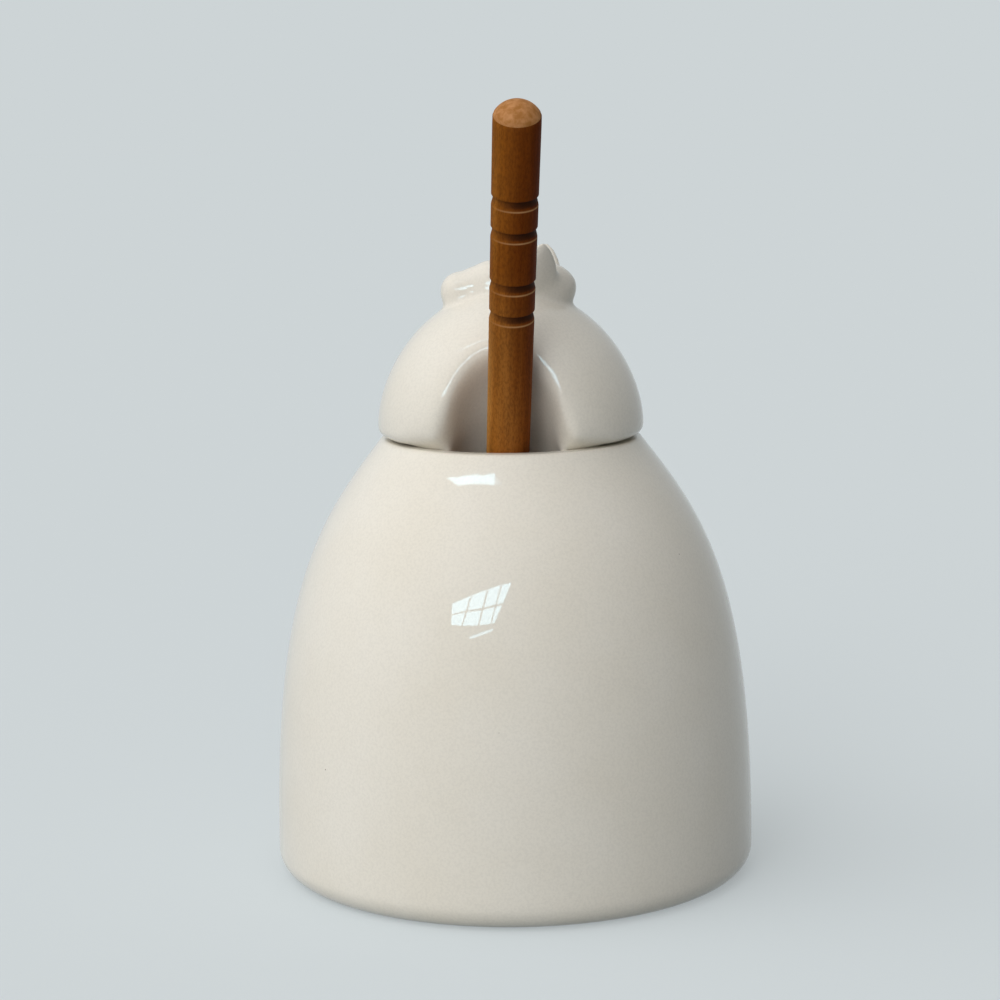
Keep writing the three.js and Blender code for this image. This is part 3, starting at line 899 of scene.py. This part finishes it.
start_afresh()
bpy.ops.mesh.primitive_plane_add(size=FLOOR_SIZE)
floor = bpy.context.object
floor.name = floor.data.name = "pale_floor"
paper, add, link, shader = material("pale_paper")
length = add("VectorMath", operation="LENGTH")
link(add("TexCoord").outputs["Object"], length.inputs[0])
further = add("MapRange", {"From Min": PAPER_REACH[0], "From Max": PAPER_REACH[1]})
further.interpolation_type = "SMOOTHSTEP"
link(length.outputs["Value"], further.inputs["Value"])
far = further.outputs["Result"]
near_tone = tuple(PAPER_SHARE * tone for tone in PALE) + (1,)
link(mixed(add, link, "MIX", far, near_tone, (0, 0, 0, 1)), shader.inputs["Base Color"])
glow = add("MapRange", {"To Min": 1 - PAPER_SHARE * FLOOR_LIGHT, "To Max": 1})
link(far, glow.inputs["Value"])
tone = times(add, link, glow.outputs["Result"], seen_or_mirrored(add, link))
link(tone, shader.inputs["Emission Strength"])
shader.inputs["Emission Color"].default_value = (*PALE, 1)
shader.inputs["Roughness"].default_value = 0.9
shader.inputs["Specular IOR Level"].default_value = 0
floor.data.materials.append(paper)
print("the paper's own tone:", [round(tone, 3) for tone in near_tone[:3]])

# %% [markdown]
# ## Light
# The room's light comes from the world, from three sides: a window in front of the pot and a little to
# the left, wide daylight from further left and higher up, and a weak light behind the pot, so that its
# far side isn't left in the dark. A little comes from everywhere. Each light is a soft lobe round a
# direction, made from the dot product with it.
# Directions are given as in a photographer's plan: 0 degrees is behind the camera, minus is left.

# %% Soft light from the world
# Azimuth and elevation in degrees, strength, and how narrow the lobe is.
WINDOW_LIGHT = (-16, 24, 5.5, 60)
DAY_LIGHT = (-66, 49, 1.95, 8)
BACK_LIGHT = (150, 40, 0.35, 6)
ROOM_LIGHT = 0.07


def towards(azimuth, elevation):
    """The direction from the pot towards a place in the room."""
    a, e = math.radians(azimuth), math.radians(elevation)
    return Vector((math.sin(a) * math.cos(e), -math.cos(a) * math.cos(e), math.sin(e)))


world = bpy.context.scene.world or bpy.data.worlds.new("room")
bpy.context.scene.world = world
world.use_nodes = True
tree = world.node_tree
add, link = adder(tree), tree.links.new
direction = add("TexCoord").outputs["Generated"]


def lobe(azimuth, elevation, strength, sharpness, base):
    """A soft light round one direction, as a socket. base may be a value or the light before it."""
    toward = add("VectorMath", {1: towards(azimuth, elevation)}, operation="DOT_PRODUCT")
    link(direction, toward.inputs[0])
    half = add("Math", {1: 0.5, 2: 0.5}, operation="MULTIPLY_ADD")
    link(toward.outputs["Value"], half.inputs[0])
    narrow = add("Math", {1: sharpness}, operation="POWER")
    link(half.outputs["Value"], narrow.inputs[0])
    scaled = add("Math", {1: strength}, operation="MULTIPLY_ADD")
    link(narrow.outputs["Value"], scaled.inputs[0])
    if isinstance(base, bpy.types.NodeSocket):
        link(base, scaled.inputs[2])
    else:
        scaled.inputs[2].default_value = base
    return scaled.outputs["Value"]


light = tree.nodes["Background"]
light.inputs["Color"].default_value = (1, 1, 1, 1)
behind = lobe(*BACK_LIGHT, ROOM_LIGHT)
link(lobe(*WINDOW_LIGHT, lobe(*DAY_LIGHT, behind)), light.inputs["Strength"])
backdrop = add("Background", {"Color": (*PALE, 1), "Strength": 1})
either = add("MixShader")
link(seen_or_mirrored(add, link), either.inputs["Fac"])
link(light.outputs["Background"], either.inputs[1])
link(backdrop.outputs["Background"], either.inputs[2])
link(either.outputs["Shader"], tree.nodes["World Output"].inputs["Surface"])
print("nodes of the world:", len(tree.nodes))

# %% [markdown]
# ## Highlights
# The glaze mirrors a real window as a small bright patch with thin crossing bars, and a skylight as a
# streak on the shoulder. Both are glowing cards that only show in the gloss. Each corner of a card is a
# direction, found by mirroring the camera's view at the highlight's corner, so the patches keep the
# slanted shape that a window has when it is seen from one side.

# %% A card of light
CARD_DISTANCE = 1.6  # metres
DAYLIGHT = (0.55, 0.85, 1, 1)


def card(name, corners, radiance, spot):
    """A glowing four-sided card. corners are directions from a spot on the pot: lower left, lower right,
    upper left, upper right."""
    start_afresh()
    bpy.ops.mesh.primitive_plane_add(size=1)
    piece = bpy.context.object
    piece.name = piece.data.name = name
    for vertex, (azimuth, elevation) in zip(piece.data.vertices, corners):
        vertex.co = Vector(spot) * MM + towards(azimuth, elevation) * CARD_DISTANCE
    glass, _, _, shader = material(name + "_glow")
    shader.inputs["Base Color"].default_value = (0, 0, 0, 1)
    shader.inputs["Specular IOR Level"].default_value = 0
    shader.inputs["Emission Color"].default_value = DAYLIGHT
    shader.inputs["Emission Strength"].default_value = radiance
    piece.data.materials.append(glass)
    piece.visible_camera = piece.visible_diffuse = piece.visible_transmission = piece.visible_shadow = False


# %% [markdown]
# The window has four columns of panes in two rows. Its tops and feet below are the ends of the upright
# bars, and each pane is drawn in by half a bar. Under it the lowest panes show again as a thin line. The
# skylight bends round the shoulder, so it is five cards side by side.

# %% Window and skylight
BAR = 1.1  # degrees across an upright bar
CROSS_BAR = 0.45  # how far up the window its cross bar is
CROSS_BAR_HALF = 0.03  # half its width, as a share of the window's height
WINDOW_GLOW, LOW_PANE_GLOW = 9, 7
SKYLIGHT_GLOWS = (8, 9, 9, 9, 3)
WINDOW_SPOT = (-3, -43, 64)
WINDOW_TOPS = [(-32.5, 25.4), (-21, 29.4), (-11.3, 32.1), (-3.2, 33.8), (3.6, 34.6)]
WINDOW_FEET = [(-31, 19.8), (-24.8, 20.1), (-15.5, 20.8), (-8.5, 21.8), (-6.6, 22.2)]
LOW_PANE_SPOT = (-4, -44, 59)
LOW_PANE = [(-20, 17.2), (-8.5, 19.6), (-20, 17.9), (-7, 20.7)]
SHOULDER_SPOT = (-5, -29.5, 86.8)
SKYLIGHT_LOWER = [(-56, 56.6), (-51, 58.1), (-45, 59.5), (-34.4, 61.4), (-18, 63.1), (-7.3, 63.9)]
SKYLIGHT_UPPER = [(-70.5, 53.6), (-60.2, 57), (-48.6, 60.2), (-33, 62.9), (-18.5, 65), (-14.2, 64.6)]


def part_way(start, end, share):
    """The direction at a share of the way from one to another."""
    return start + (end - start) * share


def window(name, tops, feet, radiance, spot):
    """Panes of glass side by side, in two rows."""
    tops, feet = np.array(tops), np.array(feet)
    rows = ((0, CROSS_BAR - CROSS_BAR_HALF), (CROSS_BAR + CROSS_BAR_HALF, 1))
    for column in range(len(tops) - 1):
        inset = BAR / 2 / (tops[column + 1, 0] - tops[column, 0])
        sides = []
        for share in (inset, 1 - inset):
            foot = part_way(feet[column], feet[column + 1], share)
            sides.append((foot, part_way(tops[column], tops[column + 1], share)))
        for row, (low, high) in enumerate(rows):
            pane = [part_way(foot, top, share) for share in (low, high) for foot, top in sides]
            card(f"{name}_{column}_{row}", pane, radiance, spot)


window("window", WINDOW_TOPS, WINDOW_FEET, WINDOW_GLOW, WINDOW_SPOT)
card("low_pane", LOW_PANE, LOW_PANE_GLOW, LOW_PANE_SPOT)
for number, radiance in enumerate(SKYLIGHT_GLOWS):
    corners = SKYLIGHT_LOWER[number:number + 2] + SKYLIGHT_UPPER[number:number + 2]
    card(f"skylight_{number}", corners, radiance, SHOULDER_SPOT)
cards = [name for name in bpy.data.objects.keys() if name.startswith(("window", "low_pane", "skylight"))]
print(len(cards), "cards of light")

# %% [markdown]
# ## Camera
# The photograph was taken from a little above the pot, with the dipper leaning towards the camera. The
# eye, the aim, the slight roll and the focal length were fitted to the outlines of the jar and the lid.

# %% Camera
EYE = Vector((34.5, -599.0, 180.45)) * MM
AIM = Vector((-2.43, -0.14, 77.70)) * MM
LENS, SENSOR = 105.24, 36
ROLL = -0.01197  # radians
CLIP = (0.05, 50)

camera = bpy.data.objects.new("camera", bpy.data.cameras.new("camera"))
bpy.context.collection.objects.link(camera)
camera.data.lens, camera.data.sensor_width = LENS, SENSOR
camera.data.clip_start, camera.data.clip_end = CLIP
camera.location = EYE
camera.rotation_mode = "QUATERNION"
camera.rotation_quaternion = (AIM - EYE).to_track_quat("-Z", "Y") @ Quaternion((0, 0, 1), ROLL)
bpy.context.scene.camera = camera
bpy.context.scene.view_settings.view_transform = "Standard"
print("from the eye to its aim, mm:", round((AIM - EYE).length / MM, 1))
